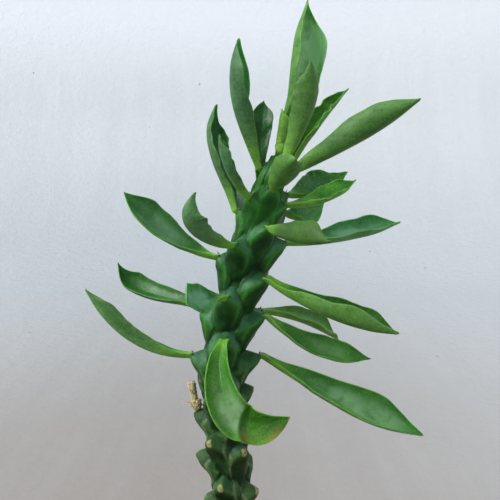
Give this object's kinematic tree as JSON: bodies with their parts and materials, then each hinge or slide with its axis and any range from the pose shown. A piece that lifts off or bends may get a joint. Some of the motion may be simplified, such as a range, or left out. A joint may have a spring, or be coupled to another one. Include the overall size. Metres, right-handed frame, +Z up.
{
  "type": "potted euphorbia guentheri",
  "caption": "Upright succulent with a leaning stem covered in bracket-like tubercles, fleshy pointed leaves towards the top, in a plain round terracotta pot of soil.",
  "frame": {"origin": "middle of the flat underside of the pot", "axes": "+Z up along the pot's axis, the front of the plant faces -Y, +X to its right"},
  "size_m": [0.1261, 0.0923, 0.2782],
  "materials": {
    "terracotta": "matt, unglazed",
    "soil": "crumbly, dry on top",
    "stem": "waxy skin with a slight bloom",
    "young_growth": "satin",
    "leaf": "glossy above, matt below",
    "dry_stalk": "dry and fibrous"
  },
  "bodies": {
    "root": {"pot": "terracotta", "soil": "soil", "stem": "stem", "growing_tip": "young_growth", "dried_flower_stalk": "dry_stalk", "leaf_01": "leaf", "leaf_02": "leaf", "leaf_03": "leaf", "leaf_04": "leaf", "leaf_05": "leaf", "leaf_06": "leaf", "leaf_07": "leaf", "leaf_08": "leaf", "leaf_09": "leaf", "leaf_10": "leaf", "leaf_11": "leaf", "leaf_12": "leaf", "leaf_13": "leaf", "leaf_14": "leaf", "leaf_15": "leaf", "leaf_16": "leaf", "leaf_17": "leaf", "leaf_18": "leaf", "leaf_19": "leaf", "leaf_20": "leaf", "leaf_21": "leaf", "leaf_22": "leaf", "leaf_23": "leaf", "leaf_24": "leaf", "leaf_25": "leaf", "leaf_26": "leaf", "leaf_27": "leaf", "leaf_28": "leaf", "leaf_29": "leaf", "leaf_30": "leaf"}
  },
  "joints": []
}
